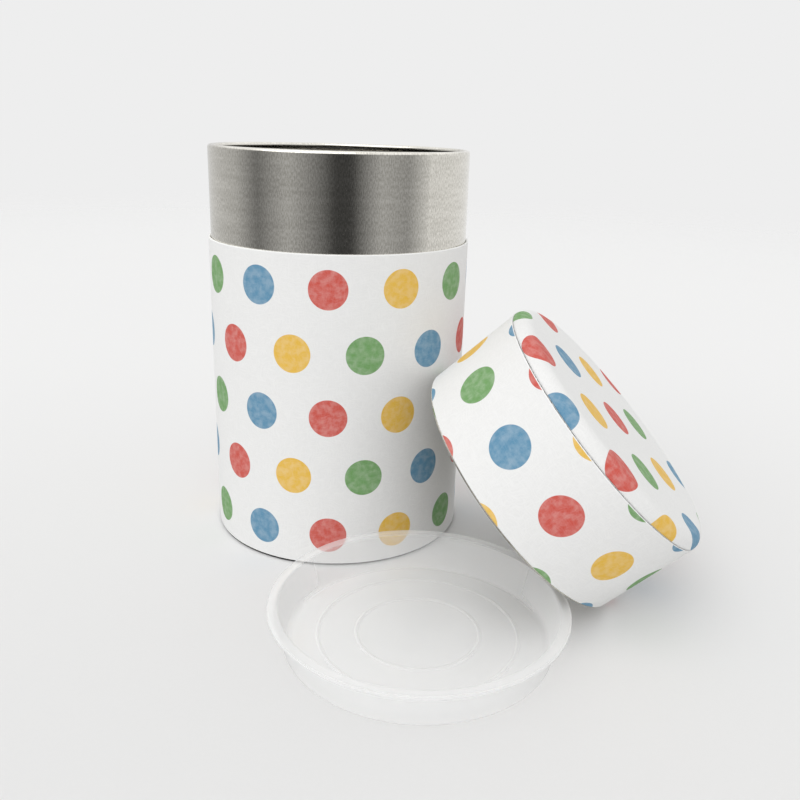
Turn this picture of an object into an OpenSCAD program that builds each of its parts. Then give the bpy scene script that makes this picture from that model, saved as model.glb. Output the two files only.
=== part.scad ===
// Tea caddy: a tinplate can wrapped in printed paper, with a bare steel neck,
// a papered cap that slides down over the neck, and a plastic inner lid that plugs it.
// Shown open: the can stands at the origin, the cap leans on its side with its rim on
// the floor, and the inner lid lies in front with its dish side up.

/* [Body] */
// Outer diameter of the papered body, and of the cap
body_d = 78; // [66:1:96]
// Height of the papered body, from the floor to the paper's top edge
body_h = 91.3; // [70:0.1:140]
// Height of the bare neck above the paper
neck_h = 26; // [18:0.5:40]

/* [Sheets] */
// Thickness of the tinplate
tin_t = 0.3; // [0.2:0.05:0.4]
// Thickness of the printed paper
paper_t = 0.25; // [0.15:0.05:0.4]

/* [Neck and base] */
// Outer radius of the inward curl on the neck's rim
curl_r = 0.9; // [0.7:0.05:1.2]
// Height of the steel foot ring that shows below the paper
foot_h = 0.7; // [0.5:0.1:1.5]
// Width of the foot ring under the can
foot_w = 1.8; // [1.2:0.1:3]
// Height of the base panel's underside above the floor
base_rise = 1.2; // [0.8:0.1:2.5]
// Height of the base's flange inside the body
base_flange_h = 3.5; // [3:0.5:6]
// Height over which the sleeve steps in from the body to the neck
joggle_h = 0.9; // [0.6:0.1:2]

/* [Cap] */
// Radial clearance between the neck and the cap
cap_fit = 0.15; // [0.1:0.01:0.25]
// Space between the inner lid's flange and the cap's top when closed
cap_headroom = 4.75; // [3.5:0.25:8]
// Outer radius of the cap's rounded shoulder
shoulder_r = 3.9; // [2:0.1:4.5]
// Width of bare steel left below the paper at the cap's rim
rim_show = 0.5; // [0.4:0.1:1]
// Length of the top plate's skirt inside the band
skirt_h = 1.4; // [1:0.1:2]

/* [Inner lid] */
// Depth of the plug below the flange
plug_h = 9.4; // [6:0.1:12]
// Radial clearance between the plug and the neck's curl
plug_fit = 0.2; // [0.1:0.05:0.4]
// How much narrower the plug's foot is than its mouth, on the radius
plug_draft = 2.2; // [0.5:0.1:3]
// Thickness of the flange
flange_t = 1.1; // [0.8:0.1:1.5]
// How far the flange's edge stays inside the neck's outer wall
flange_inset = 0.3; // [0.2:0.1:0.6]
// Thickness of the lid's wall and floor
lid_t = 1; // [0.8:0.1:1.3]
// Radius of the inner raised ring on the lid's floor
inner_ring_r = 15.7; // [8:0.1:20]
// Radius of the outer raised ring on the lid's floor
outer_ring_r = 25.5; // [22:0.1:31]
// Width of a raised ring
ring_w = 1; // [0.6:0.1:1.5]
// Height of a raised ring above the floor
ring_h = 0.35; // [0.2:0.05:0.6]

/* [Resting places] */
// Slope of the cap's axis above the floor, in degrees
lean_slope = 43.4; // [35:0.1:55]
// Direction in which the cap's closed top faces, round from +X
lean_turn = -10.5; // [-25:0.5:25]
// Angle round the cap's rim from its highest point to where it touches the can
lean_contact = 25.5; // [0:0.5:35]
// Gap left between the leaning cap and the can
lean_gap = 0.4; // [0.3:0.05:1]
// Gap between the can and the inner lid's flange
lid_gap = 0.4; // [0.3:0.1:5]
// Gap between the cap's rim and the inner lid's flange, at the flange's height
lid_cap_gap = 2; // [1.5:0.1:10]
// How much further round the can the inner lid lies than that gap asks for, in degrees
lid_turn = 0; // [0:1:60]

/* [Hidden] */
$fn = 144;
eps = 0.01;

// The sheets nest outwards: neck, shell or band, paper
outer_r = body_d / 2;
steel_r = outer_r - paper_t;
steel_in = steel_r - tin_t;
neck_r = steel_in - cap_fit;
neck_in = neck_r - tin_t;
liner_in = steel_in - tin_t;
mouth_r = neck_r - 2 * curl_r;
shell_top = body_h - paper_t;
neck_top = body_h + neck_h;

// Cap heights, measured from its rim along its own axis
cap_h = neck_h + flange_t + cap_headroom + tin_t + paper_t;
band_top = cap_h - shoulder_r;

// Inner lid radii and heights, measured from its foot
flange_r = neck_r - flange_inset;
plug_r = mouth_r - plug_fit;
plug_foot_r = plug_r - plug_draft;
lid_h = plug_h + flange_t;

// The rim's outline seen from above is an ellipse; the can touches it from outside
rim_along = steel_r * sin(lean_slope);
rim_across = steel_r;
touch_along = -rim_along * cos(lean_contact);
touch_across = rim_across * sin(lean_contact);
normal = [-cos(lean_contact) / rim_along, sin(lean_contact) / rim_across];
reach = (outer_r + lean_gap) / norm(normal);
cap_along = -(touch_along + normal[0] * reach);
cap_across = -(touch_across + normal[1] * reach);
cap_rise = steel_r * cos(lean_slope);

// The inner lid lies against the can and short of the cap's rim, where that rim
// comes down to the flange's height
rim_angle = acos(1 - lid_h / cap_rise);
rim_x = cap_along + rim_along * cos(rim_angle);
rim_y = cap_across - rim_across * sin(rim_angle);
rim_reach = norm([rim_x, rim_y]);
lid_reach = outer_r + lid_gap + flange_r;
lid_clear = flange_r + lid_cap_gap;
lid_spread = acos((pow(lid_reach, 2) + pow(rim_reach, 2) - pow(lid_clear, 2))
    / (2 * lid_reach * rim_reach));
lid_way = lean_turn + atan2(rim_y, rim_x) - lid_spread - lid_turn;

// A band standing on the floor between two radii
module band_ring(inner, outer, low, high) {
    difference() {
        translate([0, 0, low]) cylinder(r = outer, h = high - low);
        translate([0, 0, low - 1]) cylinder(r = inner, h = high - low + 2);
    }
}

// Half outline of a flat-topped form whose top corner is rounded
module shoulder_outline(radius, height, corner) {
    square([radius, height - corner]);
    square([radius - corner, height]);
    translate([radius - corner, height - corner]) circle(r = corner);
}

// A sheet pressed into a flat top with a rounded shoulder, open below
module pressed_top(radius, height, corner, sheet, low) {
    rotate_extrude() difference() {
        shoulder_outline(radius, height, corner);
        shoulder_outline(radius - sheet, height - sheet, corner - sheet);
        translate([0, -1]) square([radius + 1, low + 1]);
    }
}

// Stands the cap's own frame on its rim and leans it on the can
module leaning() {
    rotate([0, 0, lean_turn])
        translate([cap_along, cap_across, cap_rise])
            rotate([0, 90 - lean_slope, 0])
                children();
}

// Puts the inner lid's own frame on the floor beside the can
module lying() {
    rotate([0, 0, lid_way])
        translate([lid_reach, 0, 0])
            rotate([0, 0, -lid_way])
                children();
}

// Rolled tinplate side of the can
module body_shell() {
    color("silver")
        band_ring(steel_in, steel_r, foot_h, shell_top);
}

// Pressed base: foot ring, raised panel, and a flange up inside the body
module base_plate() {
    color("gray") {
        band_ring(steel_r - foot_w, steel_r, 0, foot_h);
        band_ring(steel_r - foot_w, steel_in, foot_h - eps, base_rise + tin_t);
        band_ring(steel_in - tin_t, steel_in, base_rise, base_flange_h);
        translate([0, 0, base_rise]) cylinder(r = steel_in - tin_t + eps, h = tin_t);
    }
}

// Inner sleeve: lines the body, steps in at its top edge, and curls inwards at its rim
module neck_sleeve() {
    color("lightsteelblue") rotate_extrude() {
        polygon([
            [liner_in, base_flange_h],
            [steel_in, base_flange_h],
            [steel_in, body_h - joggle_h],
            [neck_r, body_h],
            [neck_r, neck_top - curl_r],
            [neck_in, neck_top - curl_r],
            [neck_in, body_h],
            [liner_in, body_h - joggle_h],
        ]);
        translate([neck_r - curl_r, neck_top - curl_r]) difference() {
            circle(r = curl_r);
            circle(r = curl_r - tin_t);
            translate([0, -curl_r]) square([curl_r, curl_r]);
        }
    }
}

// Printed paper on the can, folded in over the shell's top edge
module body_paper() {
    color("whitesmoke") {
        band_ring(steel_r, outer_r, foot_h, body_h);
        band_ring(steel_in, steel_r + eps, shell_top, body_h);
    }
}

// Rolled tinplate side of the cap
module cap_band() {
    color("silver") leaning()
        band_ring(steel_in, steel_r, 0, band_top);
}

// Pressed top of the cap, with a rounded shoulder and a skirt inside the band
module cap_top_plate() {
    color("gray") leaning() {
        pressed_top(steel_r, cap_h - paper_t, shoulder_r - paper_t, tin_t, band_top);
        band_ring(steel_in - tin_t, steel_in, band_top - skirt_h, band_top + tin_t);
        band_ring(steel_in - tin_t, steel_in + tin_t / 2, band_top, band_top + tin_t);
    }
}

// Printed paper round the cap's side
module cap_side_paper() {
    color("whitesmoke") leaning()
        band_ring(steel_r, outer_r, rim_show, band_top);
}

// Printed paper disc, pressed down over the cap's shoulder
module cap_top_paper() {
    color("ghostwhite") leaning()
        pressed_top(outer_r, cap_h, shoulder_r, paper_t, band_top);
}

// Moulded inner lid: a tapered plug with a flange and two raised rings on its floor
module inner_lid() {
    dish_foot = plug_foot_r - lid_t;
    dish_mouth = plug_r - lid_t;
    color("aliceblue") lying() rotate_extrude() {
        polygon([
            [0, 0],
            [plug_foot_r - lid_t / 2, 0],
            [plug_foot_r, lid_t / 2],
            [plug_r, plug_h],
            [flange_r, plug_h],
            [flange_r, lid_h],
            [dish_mouth, lid_h],
            [dish_foot, 2 * lid_t],
            [dish_foot - lid_t, lid_t],
            [0, lid_t],
        ]);
        for (r = [inner_ring_r, outer_ring_r])
            translate([r - ring_w / 2, lid_t - eps]) square([ring_w, ring_h + eps]);
    }
}

body_shell();
base_plate();
neck_sleeve();
body_paper();
cap_band();
cap_top_plate();
cap_side_paper();
cap_top_paper();
inner_lid();
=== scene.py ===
import cmath
import math
import bmesh
import bpy
from mathutils import Matrix, Vector


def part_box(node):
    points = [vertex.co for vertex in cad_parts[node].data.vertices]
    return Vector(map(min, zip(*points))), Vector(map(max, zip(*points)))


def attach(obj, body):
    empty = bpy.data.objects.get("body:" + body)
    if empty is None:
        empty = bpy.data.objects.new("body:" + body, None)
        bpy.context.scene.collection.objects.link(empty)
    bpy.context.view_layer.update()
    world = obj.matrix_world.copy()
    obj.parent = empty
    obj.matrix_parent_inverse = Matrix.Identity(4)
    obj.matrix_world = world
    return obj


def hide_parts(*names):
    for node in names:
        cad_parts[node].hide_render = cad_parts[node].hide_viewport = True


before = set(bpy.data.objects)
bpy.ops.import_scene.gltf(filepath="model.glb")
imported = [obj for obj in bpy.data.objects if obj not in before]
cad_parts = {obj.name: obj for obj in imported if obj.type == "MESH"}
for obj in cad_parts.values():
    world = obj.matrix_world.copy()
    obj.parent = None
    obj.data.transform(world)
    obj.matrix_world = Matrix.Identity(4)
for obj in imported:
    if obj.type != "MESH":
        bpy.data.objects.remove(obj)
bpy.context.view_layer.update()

mm = 0.001

# ---------------------------------------------------------------------------
# Camera. It stands in front of the can, a little to the right of it and just
# above its rim, and looks down on all three pieces with a slight roll.
camera = bpy.data.objects.new("camera", bpy.data.cameras.new("camera"))
bpy.context.scene.collection.objects.link(camera)
camera.data.sensor_width = 36
camera.data.lens = 37.53
camera.data.clip_start = 0.01
pitch, roll = math.radians(18.385), math.radians(1.696)
level, rise = Vector((1, 0, 0)), Vector((0, math.sin(pitch), math.cos(pitch)))
across = math.cos(roll) * level + math.sin(roll) * rise
upward = math.cos(roll) * rise - math.sin(roll) * level
turn = Matrix((across, upward, across.cross(upward))).transposed().to_4x4()
camera.matrix_world = Matrix.Translation((0.01984, -0.25676, 0.12446)) @ turn
bpy.context.scene.camera = camera

# ---------------------------------------------------------------------------
# Body shell. The can's side is a band of brushed tinplate rolled into a tube.
# Paper covers it outside and the neck sleeve lines it inside, so only its two
# cut edges come near the light.


paper_radius = 39.0


def rounded(corners, closed, steps=7, hold=0.3):
    """An outline through corners of (radius, height, rounding), with its corners made round."""
    points = [complex(radius, height) for radius, height, _ in corners]
    outline = []
    for i, here in enumerate(points):
        rounding = corners[i][2]
        if not rounding:
            outline.append(here)
            continue
        before, after = points[i - 1] - here, points[(i + 1) % len(points)] - here
        back, on = before / abs(before), after / abs(after)
        half = abs(cmath.phase(on / back)) / 2
        reach = rounding / math.tan(half)
        centre = here + (back + on) / abs(back + on) * rounding / math.sin(half)
        start, end = here + back * reach - centre, here + on * reach - centre
        sweep = cmath.phase(end / start)
        arc = [centre + start * cmath.exp(1j * sweep * k / steps) for k in range(steps + 1)]
        if abs(before) > reach + 2 * hold:
            outline.append(arc[0] + back * hold)
        outline += arc
        if abs(after) > reach + 2 * hold:
            outline.append(arc[-1] + on * hold)
    return outline


def turned(name, corners, closed=True, flat=False, start=0.0, low=0.0, lap=None, seat=Matrix()):
    """A sheet turned about its axis. Its UV map is the sheet laid flat, in millimetres."""
    outline = rounded(corners, closed)
    angles = [math.tau * k / 240 for k in range(240)] + [math.tau - 0.003]
    count = len(angles)
    along = [low]
    for here, after in zip(outline, outline[1:] + outline[:1]):
        along.append(along[-1] + abs(after - here))
    spots, rings = [], []
    for point in outline:
        if point.real < 1e-6:
            rings.append([len(spots)] * count)
            spots.append(seat @ Vector((0, 0, point.imag * mm)))
            continue
        rings.append(range(len(spots), len(spots) + count))
        for angle in angles:
            radius = point.real + (lap(math.degrees(angle), point) if lap else 0)
            way = math.radians(start) + angle
            place = (radius * math.cos(way), radius * math.sin(way), point.imag)
            spots.append(seat @ (Vector(place) * mm))
    faces, flats = [], []
    for i in range(len(outline) if closed else len(outline) - 1):
        near, far = rings[i], rings[(i + 1) % len(outline)]
        for k in range(count):
            after = (k + 1) % count
            face = [(near[k], i, k), (near[after], i, k + 1), (far[after], i + 1, k + 1), (far[k], i + 1, k)]
            if near[k] == near[after]:
                del face[1]
            elif far[k] == far[after]:
                del face[2]
            faces.append([spot for spot, _, _ in face])
            for _, step, column in face:
                way = math.radians(start) + (angles[column] if column < count else math.tau)
                if flat:
                    flats += [along[step] * math.cos(way), along[step] * math.sin(way)]
                else:
                    flats += [(way + math.pi / 2) * paper_radius, along[step]]
    mesh = bpy.data.meshes.new(name)
    mesh.from_pydata(spots, [], faces)
    mesh.uv_layers.new(name="sheet").data.foreach_set("uv", flats)
    return finished(name, mesh)


def finished(name, mesh):
    """Turns every face outwards, shades the mesh smooth and puts it in the scene."""
    work = bmesh.new()
    work.from_mesh(mesh)
    bmesh.ops.remove_doubles(work, verts=work.verts, dist=1e-7)
    bmesh.ops.recalc_face_normals(work, faces=work.faces)
    work.to_mesh(mesh)
    work.free()
    mesh.shade_smooth()
    piece = bpy.data.objects.new(name, mesh)
    bpy.context.scene.collection.objects.link(piece)
    return piece


def tint(red, green, blue):
    """A colour given on a 0 to 255 scale, as the shaders take it."""
    return tuple(((c / 255 + 0.055) / 1.055) ** 2.4 for c in (red, green, blue)) + (1.0,)


def node(tree, kind, feeds=None, **settings):
    """Adds a node, sets it up, and feeds its inputs with values or with other nodes' outputs."""
    made = tree.nodes.new(kind)
    for key, value in settings.items():
        setattr(made, key, value)
    for key, value in (feeds or {}).items():
        if isinstance(value, bpy.types.NodeSocket):
            tree.links.new(value, made.inputs[key])
        else:
            made.inputs[key].default_value = value
    return made


def maths(tree, operation, *values):
    return node(tree, "ShaderNodeMath", dict(enumerate(values)), operation=operation).outputs[0]


def vectors(tree, operation, *values):
    return node(tree, "ShaderNodeVectorMath", dict(enumerate(values)), operation=operation).outputs[0]


def ramped(tree, value, low, high, at_low=0.0, at_high=1.0):
    """Eases from one value to another while the input goes from low to high."""
    feeds = {"Value": value, "From Min": low, "From Max": high, "To Min": at_low, "To Max": at_high}
    return node(tree, "ShaderNodeMapRange", feeds, interpolation_type="SMOOTHSTEP").outputs["Result"]


def mixed(tree, share, first, second, way="MIX"):
    feeds = {0: share, 6: first, 7: second}
    return node(tree, "ShaderNodeMix", feeds, data_type="RGBA", blend_type=way).outputs[2]


def effect(name, takes, gives):
    """A new shader node group: the tree, its inputs and its output node."""
    tree = bpy.data.node_groups.new(name, "ShaderNodeTree")
    for label, kind, value in takes:
        socket = tree.interface.new_socket(label, in_out="INPUT", socket_type="NodeSocket" + kind)
        socket.default_value = value
    for label, kind in gives:
        tree.interface.new_socket(label, in_out="OUTPUT", socket_type="NodeSocket" + kind)
    return tree, node(tree, "NodeGroupInput").outputs, node(tree, "NodeGroupOutput")


def material(name):
    made = bpy.data.materials.new(name)
    made.use_nodes = True
    made.node_tree.nodes.clear()
    return made, made.node_tree


def surface(tree, **feeds):
    """The material's own shader, joined to its output."""
    feeds = {key.replace("_", " "): value for key, value in feeds.items()}
    shader = node(tree, "ShaderNodeBsdfPrincipled", feeds).outputs[0]
    node(tree, "ShaderNodeOutputMaterial", {"Surface": shader})


# Short flecks and fine scratches left by brushing the sheet before it was tinned
brushed, takes, gives = effect(
    "brushed_flecks",
    [("Sheet", "Vector", (0, 0, 0)), ("Flecks per mm", "Float", 3.2), ("Dulling", "Float", 0.1)],
    [("Tone", "Float"), ("Roughness", "Float"), ("Height", "Float")])
split = node(brushed, "ShaderNodeSeparateXYZ", {0: takes["Sheet"]}).outputs
fine_place = node(brushed, "ShaderNodeCombineXYZ", {
    0: maths(brushed, "MULTIPLY", split[0], takes["Flecks per mm"]),
    1: maths(brushed, "MULTIPLY", split[1], 1.1)}).outputs[0]
fine = node(brushed, "ShaderNodeTexNoise", {"Vector": fine_place, "Scale": 1.0, "Detail": 3.0}).outputs[0]
broad_place = node(brushed, "ShaderNodeCombineXYZ", {
    0: maths(brushed, "MULTIPLY", split[0], 0.05), 1: maths(brushed, "MULTIPLY", split[1], 0.5)}).outputs[0]
broad = node(brushed, "ShaderNodeTexNoise", {"Vector": broad_place, "Scale": 1.0, "Detail": 2.0}).outputs[0]
both = maths(brushed, "MULTIPLY_ADD", broad, 0.2, maths(brushed, "MULTIPLY", fine, 0.8))
brushed.links.new(ramped(brushed, both, 0.35, 0.65), gives.inputs["Tone"])
brushed.links.new(maths(brushed, "MULTIPLY_ADD", both, takes["Dulling"], 0.08), gives.inputs["Roughness"])
brushed.links.new(fine, gives.inputs["Height"])


def brushed_steel(name, dark, light):
    """Brushed tinplate between two tones."""
    made, tree = material(name)
    sheet = node(tree, "ShaderNodeUVMap", uv_map="sheet").outputs[0]
    flecks = node(tree, "ShaderNodeGroup", {"Sheet": sheet, "Dulling": 0.14}, node_tree=brushed).outputs
    scratched = node(tree, "ShaderNodeBump", {
        "Height": flecks["Height"], "Strength": 0.35, "Distance": 0.00002})
    surface(tree, Base_Color=mixed(tree, flecks["Tone"], dark, light), Metallic=1.0,
            Roughness=flecks["Roughness"], Normal=scratched.outputs[0])
    return made


tinplate = brushed_steel("tinplate", tint(204, 201, 192), tint(240, 237, 229))
shell = turned("can_shell", [
    (38.75, 0.7, 0.1), (38.75, 91.05, 0.12), (38.45, 91.05, 0.12), (38.45, 0.7, 0.1)], low=0.7)
shell.data.materials.append(tinplate)
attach(shell, "can")
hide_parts("body_shell")

# ---------------------------------------------------------------------------
# Base plate. A disc of tinplate, pressed with a foot, a raised panel with one
# shallow step, and a flange that is pushed up inside the shell. Its steel is
# given near-black tones as painted shade, so the foot shows as a thin dark line
# under the paper.
base = turned("can_base", [
    (0, 1.5, 0), (30, 1.5, 0.6), (31, 1.2, 0.6), (36.95, 1.2, 0.35), (36.95, 0, 0.35),
    (38.75, 0, 0.35), (38.75, 0.7, 0.08), (38.45, 0.7, 0.05), (38.45, 3.5, 0.12),
    (38.15, 3.5, 0.12), (38.15, 1.5, 0.5), (31.2, 1.5, 0.5), (30.2, 1.8, 0.5), (0, 1.8, 0)],
    closed=False, flat=True)
# Painted shade: the base's steel is given near-black tones for the shade in the crevice under the can.
base.data.materials.append(brushed_steel("foot_tinplate_painted_shade", tint(52, 52, 54), tint(78, 78, 80)))
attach(base, "can")
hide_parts("base_plate")

# ---------------------------------------------------------------------------
# Neck sleeve. A second tinplate tube lines the body, steps in where the paper
# ends, stands up as the bare neck, and is curled inwards at its rim. It is
# closed by a lapped weld that runs straight up the front right of the neck.
def weld(angle, point):
    """The lap's edge lies a little lower than the sheet beside it, over the first few degrees."""
    return -0.05 * (1 - angle / 5) if angle < 5 and point.imag > 92 else 0


curl = [(37.4 + 0.9 * math.cos(a), 116.4 + 0.9 * math.sin(a), 0) for a in
        (math.radians(15 * k) for k in range(19))]
curl += [(37.4 + 0.6 * math.cos(a), 116.4 + 0.6 * math.sin(a), 0) for a in
         (math.radians(15 * k) for k in range(18, -1, -1))]
neck = turned("neck", [
    (38.45, 3.5, 0.1), (38.45, 90.4, 0.4), (38.3, 91.3, 0.4), (38.3, 116.1, 0), *curl,
    (38.0, 116.1, 0), (38.0, 91.3, 0.4), (38.15, 90.4, 0.4), (38.15, 3.5, 0.1)],
    start=-46, low=3.5, lap=weld)
neck.data.materials.append(tinplate)
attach(neck, "can")
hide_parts("neck_sleeve")

# ---------------------------------------------------------------------------
# Body paper. Soft white paper, printed with plain round dots in four colours,
# is glued round the can. Its top edge is turned in over the shell, and its
# ends overlap at the back.

# Plain dots in rows. Every other row is moved half a step along, and the colours take turns.
dots, takes, gives = effect(
    "dot_print",
    [("Sheet", "Vector", (0, 0, 0)), ("First dot", "Vector", (0, 0, 0)), ("Across", "Float", 20.42),
     ("Up", "Float", 18.0), ("Dot radius", "Float", 5.4)],
    [("Colour", "Color"), ("Cover", "Float")])
split = node(dots, "ShaderNodeSeparateXYZ", {
    0: vectors(dots, "SUBTRACT", takes["Sheet"], takes["First dot"])}).outputs
row = maths(dots, "ROUND", maths(dots, "DIVIDE", split[1], takes["Up"]))
half_step = maths(dots, "MULTIPLY", maths(dots, "FLOORED_MODULO", row, 2), 0.5)
along_row = maths(dots, "SUBTRACT", maths(dots, "DIVIDE", split[0], takes["Across"]), half_step)
column = maths(dots, "ROUND", along_row)
off_middle = node(dots, "ShaderNodeCombineXYZ", {
    0: maths(dots, "MULTIPLY", maths(dots, "SUBTRACT", along_row, column), takes["Across"]),
    1: maths(dots, "SUBTRACT", split[1], maths(dots, "MULTIPLY", row, takes["Up"]))}).outputs[0]
out = node(dots, "ShaderNodeVectorMath", {0: off_middle}, operation="LENGTH").outputs["Value"]
inside = maths(dots, "SUBTRACT", out, takes["Dot radius"])
ink_number = maths(dots, "FLOORED_MODULO", maths(dots, "MULTIPLY_ADD", row, 2.0, column), 4)
inks = [tint(206, 84, 72), tint(232, 186, 70), tint(112, 160, 96), tint(92, 144, 176)]
ink = node(dots, "ShaderNodeValToRGB", {0: maths(dots, "MULTIPLY_ADD", ink_number, 0.25, 0.125)})
ink.color_ramp.interpolation = "CONSTANT"
for i, colour in enumerate(inks):
    stop = ink.color_ramp.elements[i] if i < 2 else ink.color_ramp.elements.new(i / len(inks))
    stop.position = i / len(inks)
    stop.color = colour
patchy = node(dots, "ShaderNodeTexNoise", {"Vector": takes["Sheet"], "Scale": 0.5, "Detail": 4.0}).outputs[0]
inked = mixed(dots, ramped(dots, patchy, 0.35, 0.7, 0.0, 0.14), ink.outputs[0], tint(250, 250, 246))
dots.links.new(inked, gives.inputs["Colour"])
dots.links.new(ramped(dots, inside, -0.08, 0.08, 1.0, 0.0), gives.inputs["Cover"])

# Soft paper: long fibres pressed flat, and a faint unevenness
fibrous, takes, gives = effect(
    "paper_fibres", [("Sheet", "Vector", (0, 0, 0))], [("Tone", "Float"), ("Height", "Float")])
t = fibrous
swirl = node(t, "ShaderNodeTexNoise", {
    "Vector": takes["Sheet"], "Scale": 0.12, "Detail": 2.0}).outputs["Color"]
bent = vectors(t, "ADD", takes["Sheet"], vectors(t, "MULTIPLY", swirl, (7, 7, 0)))
long_way = node(t, "ShaderNodeTexNoise", {
    "Vector": vectors(t, "MULTIPLY", bent, (0.35, 2.6, 1)), "Scale": 1.0, "Detail": 3.0}).outputs[0]
cross_way = node(t, "ShaderNodeTexNoise", {
    "Vector": vectors(t, "MULTIPLY", bent, (2.6, 0.35, 1)), "Scale": 1.0, "Detail": 3.0}).outputs[0]
tooth = node(t, "ShaderNodeTexNoise", {"Vector": takes["Sheet"], "Scale": 3.2, "Detail": 2.0}).outputs[0]
pressed = maths(t, "ADD", maths(t, "MAXIMUM", long_way, cross_way), maths(t, "MULTIPLY", tooth, 0.35))
t.links.new(ramped(t, pressed, 0.5, 0.95, 0.0, 1.0), gives.inputs["Tone"])
t.links.new(pressed, gives.inputs["Height"])


def printed_paper(name, first, cut):
    """White paper with the dot print, whose first dot lies at that place on the sheet. Nothing
    is printed past the cut, where the sheet's white core and back begin."""
    made, tree = material(name)
    sheet = node(tree, "ShaderNodeUVMap", uv_map="sheet").outputs[0]
    dot = node(tree, "ShaderNodeGroup", {"Sheet": sheet, "First dot": first}, node_tree=dots).outputs
    fibres = node(tree, "ShaderNodeGroup", {"Sheet": sheet}, node_tree=fibrous).outputs
    plain = mixed(tree, fibres["Tone"], tint(234, 234, 233), tint(240, 240, 239))
    reach = cut(tree, sheet)
    share = maths(tree, "MULTIPLY", maths(tree, "MULTIPLY", dot["Cover"], reach),
                  ramped(tree, fibres["Tone"], 0.0, 1.0, 1.0, 0.93))
    plain = mixed(tree, reach, tint(250, 250, 249), plain)
    colour = mixed(tree, share, plain, dot["Colour"])
    raised = node(tree, "ShaderNodeBump", {"Height": fibres["Height"], "Strength": 0.3, "Distance": 0.00004})
    surface(tree, Base_Color=colour, Roughness=maths(tree, "MULTIPLY_ADD", fibres["Tone"], 0.12, 0.66),
            Specular_IOR_Level=0.3, Normal=raised.outputs[0])
    return made


def between(low, high):
    """Printed only from one height of the sheet up to another."""
    def cut(tree, sheet):
        up = node(tree, "ShaderNodeSeparateXYZ", {0: sheet}).outputs[1]
        past_low = ramped(tree, up, low, low + 0.1)
        short_of_high = ramped(tree, up, high - 0.1, high, 1.0, 0.0)
        return maths(tree, "MULTIPLY", past_low, short_of_high)
    return cut


def overlap(angle, point):
    """The sheet's end laps over its start by 6 mm, a sheet's thickness higher."""
    return 0.14 * min(1, (9 - angle) * 2) if angle < 9 and point.real > 38.85 else 0


wrap = turned("can_paper", [
    (39.0, 0.7, 0.1), (39.0, 91.3, 0.22), (38.45, 91.3, 0.12), (38.45, 91.05, 0.05),
    (38.75, 91.05, 0.05), (38.75, 0.7, 0.08)], start=-220, low=0.7, lap=overlap)
wrap.data.materials.append(printed_paper("printed_paper_body", first=(0, 10, 0), cut=between(0.8, 91.15)))
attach(wrap, "can")
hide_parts("body_paper")

# ---------------------------------------------------------------------------
# Cap band. The cap's side is a short tinplate tube that slides down over the
# neck. A thin line of bare steel shows below the paper at its rim. The whole
# cap leans on the can's right side with its rim on the floor.
lean, turned_by = math.radians(43.4), math.radians(-10.5)
cap_seat = (Matrix.Translation(Vector((55.166, -39.670, 28.155)) * mm)
            @ Matrix.Rotation(turned_by, 4, "Z") @ Matrix.Rotation(math.pi / 2 - lean, 4, "Y"))
band = turned("cap_band_steel", [
    (38.75, 0, 0.12), (38.75, 28.5, 0.05), (38.45, 28.5, 0.05), (38.45, 0, 0.12)], start=60, seat=cap_seat)
band.data.materials.append(tinplate)
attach(band, "cap")
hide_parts("cap_band")

# ---------------------------------------------------------------------------
# Cap top plate. Pressed tinplate with a rounded shoulder, whose skirt is
# pushed into the band. It shows only inside the cap.
plate = turned("cap_plate", [
    (0, 32.15, 0), (38.75, 32.15, 3.55), (38.75, 28.5, 0.05), (38.45, 28.5, 0.05),
    (38.45, 27.1, 0.1), (38.15, 27.1, 0.1), (38.15, 31.85, 3.2), (0, 31.85, 0)],
    closed=False, flat=True, seat=cap_seat)
plate.data.materials.append(tinplate)
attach(plate, "cap")
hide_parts("cap_top_plate")

# ---------------------------------------------------------------------------
# Cap side paper. The same printed paper, glued round the band, with its ends
# overlapping on the side away from the can's front.
side = turned("cap_side_sheet", [
    (39.0, 0.5, 0.1), (39.0, 28.5, 0.03), (38.75, 28.5, 0.03), (38.75, 0.5, 0.08)],
    start=-300, low=0.5, lap=overlap, seat=cap_seat)
side.data.materials.append(printed_paper(
    "printed_paper_cap_side", first=(0, 14.5, 0), cut=between(0.5, 28.5)))
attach(side, "cap")
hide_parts("cap_side_paper")

# ---------------------------------------------------------------------------
# Cap top paper. A round sheet with the same dots is pressed down over the
# shoulder, so its white cut edge meets the side sheet's printed edge.
def within(radius):
    """Printed only out to that distance from the sheet's middle."""
    def cut(tree, sheet):
        out = node(tree, "ShaderNodeVectorMath", {0: sheet}, operation="LENGTH").outputs["Value"]
        return ramped(tree, out, radius - 0.1, radius, 1.0, 0.0)
    return cut


lid_sheet = turned("cap_top_sheet", [
    (0, 32.4, 0), (39.0, 32.4, 3.8), (39.0, 28.5, 0.03), (38.75, 28.5, 0.03),
    (38.75, 32.15, 3.55), (0, 32.15, 0)], closed=False, flat=True, seat=cap_seat)
lid_sheet.data.materials.append(printed_paper("printed_paper_cap_top", first=(0, 0, 0), cut=within(40.95)))
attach(lid_sheet, "cap")
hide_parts("cap_top_paper")

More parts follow.
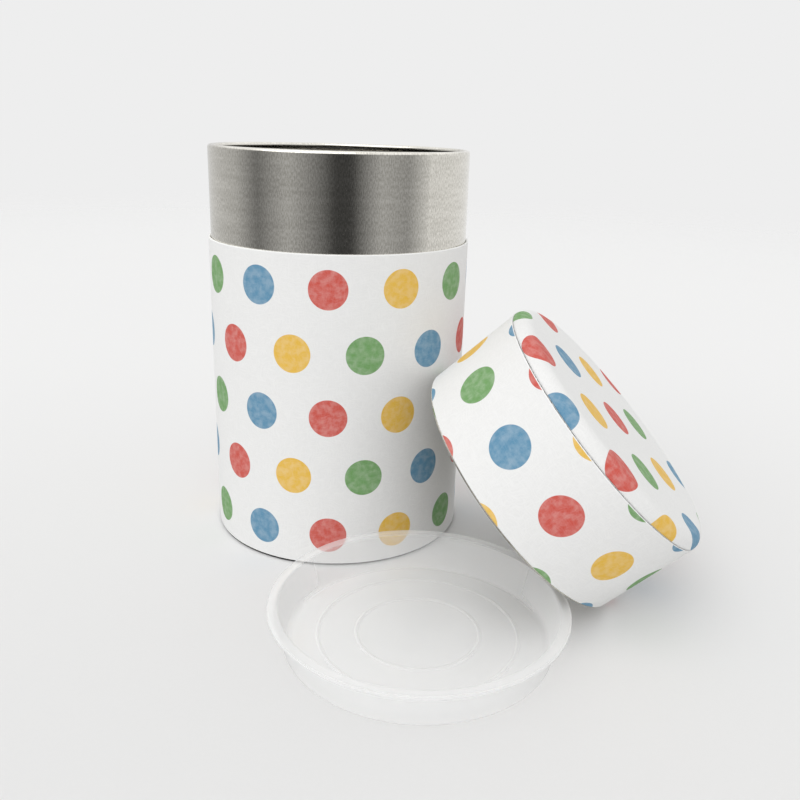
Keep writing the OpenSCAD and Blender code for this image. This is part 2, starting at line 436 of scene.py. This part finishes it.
# ---------------------------------------------------------------------------
# Inner lid. One moulding of thin, milky polypropylene: a tapered plug that
# closes the neck, a flange that rests on the rim, and two low rings on its
# floor. It lies on the floor with its dish side up, in front of the can.
moulding = bpy.data.node_groups.new("turned_moulding", "GeometryNodeTree")
lid_sizes = {
    "Mouth radius": 36.3, "Foot radius": 34.1, "Depth": 9.4, "Flange radius": 38.0,
    "Flange thickness": 1.1, "Wall": 1.0, "Inner ring": 15.7, "Outer ring": 25.5,
    "Ring width": 1.0, "Ring height": 0.35}
for label in lid_sizes:
    moulding.interface.new_socket(label, in_out="INPUT", socket_type="NodeSocketFloat")
moulding.interface.new_socket("Steps round", in_out="INPUT", socket_type="NodeSocketInt")
moulding.interface.new_socket("Centre", in_out="INPUT", socket_type="NodeSocketVector")
moulding.interface.new_socket("Plastic", in_out="INPUT", socket_type="NodeSocketMaterial")
moulding.interface.new_socket("Geometry", in_out="OUTPUT", socket_type="NodeSocketGeometry")
t = moulding
size = node(t, "NodeGroupInput").outputs
top = maths(t, "ADD", size["Depth"], size["Flange thickness"])
dish_mouth = maths(t, "SUBTRACT", size["Mouth radius"], size["Wall"])
dish_foot = maths(t, "SUBTRACT", size["Foot radius"], size["Wall"])
crest = maths(t, "ADD", size["Wall"], size["Ring height"])
path = [(0.0, 0.0, 0.0), (size["Foot radius"], 0.0, 0.8), (size["Mouth radius"], size["Depth"], 0.3),
        (size["Flange radius"], size["Depth"], 0.3), (size["Flange radius"], top, 0.45),
        (dish_mouth, top, 0.45), (dish_foot, size["Wall"], 1.8)]
for ring_name in ("Outer ring", "Inner ring"):
    for across, height in ((0.5, size["Wall"]), (0.25, crest), (-0.25, crest), (-0.5, size["Wall"])):
        path.append((maths(t, "MULTIPLY_ADD", size["Ring width"], across, size[ring_name]), height, 0.2))
path.append((0.0, size["Wall"], 0.0))
index = node(t, "GeometryNodeInputIndex").outputs[0]
corner = node(t, "GeometryNodeIndexSwitch", {"Index": index}, data_type="VECTOR")
bend = node(t, "GeometryNodeIndexSwitch", {"Index": index}, data_type="FLOAT")
for i, (radius, height, rounding) in enumerate(path):
    if i > 1:
        corner.index_switch_items.new()
        bend.index_switch_items.new()
    at = node(t, "ShaderNodeCombineXYZ", {
        0: maths(t, "SUBTRACT", radius, 1.0), 1: maths(t, "MULTIPLY", height, -1.0)}).outputs[0]
    t.links.new(at, corner.inputs[i + 1])
    bend.inputs[i + 1].default_value = rounding
wire = node(t, "GeometryNodeMeshLine", {"Count": len(path)}, mode="OFFSET").outputs[0]
wire = node(t, "GeometryNodeSetPosition", {"Geometry": wire, "Position": corner.outputs[0]}).outputs[0]
wire = node(t, "GeometryNodeMeshToCurve", {0: wire}).outputs[0]
wire = node(t, "GeometryNodeFilletCurve", {
    "Curve": wire, "Count": 6, "Radius": bend.outputs[0], "Limit Radius": True}, mode="POLY").outputs[0]
wire = node(t, "GeometryNodeResampleCurve", {"Curve": wire, "Length": 0.25}, mode="LENGTH").outputs[0]
hoop = node(t, "GeometryNodeCurvePrimitiveCircle", {
    "Resolution": size["Steps round"], "Radius": 1.0}).outputs[0]
skin = node(t, "GeometryNodeCurveToMesh", {"Curve": hoop, "Profile Curve": wire}).outputs[0]
skin = node(t, "GeometryNodeMergeByDistance", {"Geometry": skin, "Distance": 0.001}).outputs[0]
skin = node(t, "GeometryNodeTransform", {
    "Geometry": skin, "Translation": size["Centre"], "Scale": (mm, mm, mm)}).outputs[0]
skin = node(t, "GeometryNodeSetShadeSmooth", {"Geometry": skin}).outputs[0]
skin = node(t, "GeometryNodeRealizeInstances", {"Geometry": skin}).outputs[0]
skin = node(t, "GeometryNodeSetMaterial", {"Geometry": skin, "Material": size["Plastic"]}).outputs[0]
node(t, "NodeGroupOutput", {0: skin})

plastic, tree = material("milky_plastic")
where = node(tree, "ShaderNodeTexCoord").outputs["Object"]
flow = node(tree, "ShaderNodeTexNoise", {
    "Vector": where, "Scale": 60.0, "Detail": 3.0, "Distortion": 1.0}).outputs[0]
ripple = node(tree, "ShaderNodeBump", {"Height": flow, "Strength": 0.04, "Distance": 0.0001})
facing = node(tree, "ShaderNodeLayerWeight", {"Blend": 0.3}).outputs["Facing"]
veil = ramped(tree, facing, 0.0, 1.0, 0.2, 0.8)
rays = node(tree, "ShaderNodeLightPath").outputs
passing = maths(tree, "MAXIMUM", rays["Is Shadow Ray"], rays["Is Diffuse Ray"])
veil = maths(tree, "MULTIPLY", veil, maths(tree, "MULTIPLY_ADD", passing, -0.9, 1.0))
surface(tree, Base_Color=mixed(tree, flow, tint(248, 249, 249), tint(253, 253, 253)),
        Roughness=maths(tree, "MULTIPLY_ADD", flow, 0.12, 0.16), IOR=1.49, Alpha=veil,
        Normal=ripple.outputs[0])

(lid_low, lid_high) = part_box("inner_lid")
lid_middle = ((lid_low[0] + lid_high[0]) / 2, (lid_low[1] + lid_high[1]) / 2, 0.0)
lid = bpy.data.objects.new("lid", bpy.data.meshes.new("lid"))
bpy.context.scene.collection.objects.link(lid)
cast = lid.modifiers.new("moulding", "NODES")
cast.node_group = moulding
lid_inputs = {**lid_sizes, "Steps round": 180, "Centre": lid_middle, "Plastic": plastic}
for item in moulding.interface.items_tree:
    if item.in_out == "INPUT":
        cast[item.identifier] = lid_inputs[item.name]
moulded = bpy.data.meshes.new_from_object(lid.evaluated_get(bpy.context.evaluated_depsgraph_get()))
bpy.data.objects.remove(lid)
lid = finished("inner_lid_moulding", moulded)
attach(lid, "inner_lid")
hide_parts("inner_lid")

# ---------------------------------------------------------------------------
# Table and light. A pale tabletop, painted darker towards the front as painted
# shade, that fades into the room, an even soft light from all round with a little
# more from above, and a darker room with a few windows and walls that only the
# steel picks up.
table = bpy.data.meshes.new("table_top")
disc = bmesh.new()
bmesh.ops.create_circle(disc, cap_ends=True, segments=96, radius=1.5)
disc.to_mesh(table)
disc.free()
table = bpy.data.objects.new("table_top", table)
table.location.z = -0.00005
bpy.context.scene.collection.objects.link(table)
matte, tree = material("table_paint_and_painted_shade")
where = node(tree, "ShaderNodeTexCoord").outputs["Object"]
grain = node(tree, "ShaderNodeTexNoise", {"Vector": where, "Scale": 900.0, "Detail": 2.0}).outputs[0]
away = node(tree, "ShaderNodeVectorMath", {0: where}, operation="LENGTH").outputs["Value"]
depth = node(tree, "ShaderNodeSeparateXYZ", {0: where}).outputs[1]
# Painted shade: the tabletop is painted darker towards the front.
paint_and_front_shade = mixed(tree, ramped(tree, depth, -0.22, 0.2), tint(228, 228, 228), tint(237, 237, 237))
speckle = maths(tree, "MULTIPLY", grain, 0.1)
surface(tree, Base_Color=mixed(tree, speckle, paint_and_front_shade, tint(246, 246, 246)), Roughness=0.9,
        Specular_IOR_Level=0.2, Alpha=ramped(tree, away, 0.45, 1.3, 1.0, 0.0))
table.data.materials.append(matte)
table.visible_glossy = False

world = bpy.data.worlds.new("studio")
world.use_nodes = True
bpy.context.scene.world = world
tree = world.node_tree
tree.nodes.clear()
aim = node(tree, "ShaderNodeSeparateXYZ", {0: node(tree, "ShaderNodeTexCoord").outputs["Generated"]}).outputs
bearing = maths(tree, "ARCTAN2", aim[0], maths(tree, "MULTIPLY", aim[1], -1.0))
bearing = maths(tree, "MULTIPLY_ADD", bearing, 1 / math.tau, 0.5)
room = node(tree, "ShaderNodeValToRGB", {0: bearing})
# grey walls round the room: the bearing of each from the front, and how light it is
walls = [(-180, 215), (-95, 170), (-70, 105), (-40, 165), (-15, 115), (0, 55), (15, 55), (40, 165), (65, 140),
         (90, 210), (180, 225)]
for i, (degrees, grey) in enumerate(walls):
    stop = room.color_ramp.elements[i] if i < 2 else room.color_ramp.elements.new(1.0)
    stop.position = degrees / 360 + 0.5
    stop.color = tint(grey, grey, grey)
over = ramped(tree, aim[2], 0.25, 0.6)
reflected = mixed(tree, over, room.outputs[0], tint(246, 246, 246))
reflected = mixed(tree, ramped(tree, aim[2], -0.75, -0.4, 1.0, 0.0), reflected, tint(150, 150, 148))
reflected = node(tree, "ShaderNodeBackground", {"Color": reflected, "Strength": 1.2}).outputs[0]
soft = mixed(tree, ramped(tree, aim[2], -0.2, 1.0), tint(246, 246, 247), tint(248, 248, 247))
soft = node(tree, "ShaderNodeBackground", {"Color": soft, "Strength": 0.84}).outputs[0]
plain = node(tree, "ShaderNodeBackground", {"Color": tint(238, 238, 238), "Strength": 1.0}).outputs[0]
ray = node(tree, "ShaderNodeLightPath").outputs
lit = node(tree, "ShaderNodeMixShader", {0: ray["Is Glossy Ray"], 1: soft, 2: reflected}).outputs[0]
seen = node(tree, "ShaderNodeMixShader", {0: ray["Is Camera Ray"], 1: lit, 2: plain}).outputs[0]
node(tree, "ShaderNodeOutputWorld", {"Surface": seen})

lamp = bpy.data.objects.new("window_light", bpy.data.lights.new("window_light", "SUN"))
lamp.data.energy = 1.0
lamp.data.angle = math.radians(70)
lamp.rotation_euler = (math.radians(38), 0, math.radians(-35))
bpy.context.scene.collection.objects.link(lamp)
bpy.context.scene.view_settings.view_transform = "Standard"
